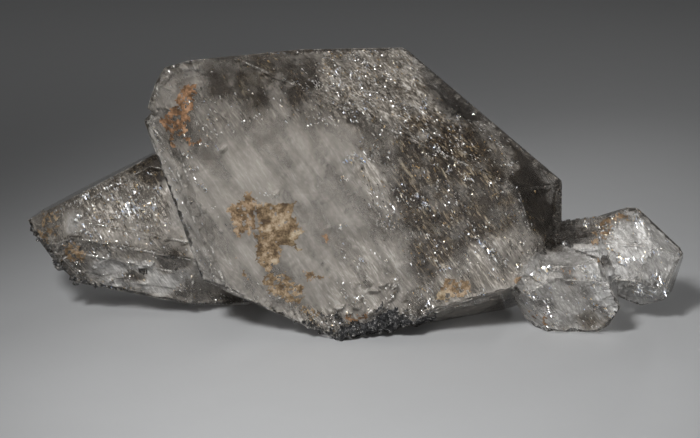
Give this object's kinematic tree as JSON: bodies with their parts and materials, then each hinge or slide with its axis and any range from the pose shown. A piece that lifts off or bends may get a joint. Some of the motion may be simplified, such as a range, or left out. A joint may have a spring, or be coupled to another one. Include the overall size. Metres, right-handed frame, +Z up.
{
  "type": "herkimer diamond",
  "caption": "Cluster of smoky, fractured quartz crystals, each pointed at both ends, grown through one another and lying on a small flat under the largest.",
  "frame": {"origin": "centre of the bounding box at its bottom, on the surface the cluster stands on", "axes": "+X along the cluster's length, from the long left crystal to the small right ones, -Y towards the viewer, out of the large crystal's broad face, +Z up"},
  "size_m": [0.1346, 0.0456, 0.0575],
  "materials": {
    "rock_crystal": "clear smoky quartz, bright natural faces with frosted and etched patches",
    "fracture": "silvery flakes and milky sheets of healed cracks inside the crystal",
    "iron_clay": "matt tan and rust-brown clay film",
    "carbon_crust": "rough black and grey dolomite and anthraxolite grains"
  },
  "bodies": {
    "root": {"crystal_cluster": "rock_crystal"}
  },
  "joints": []
}
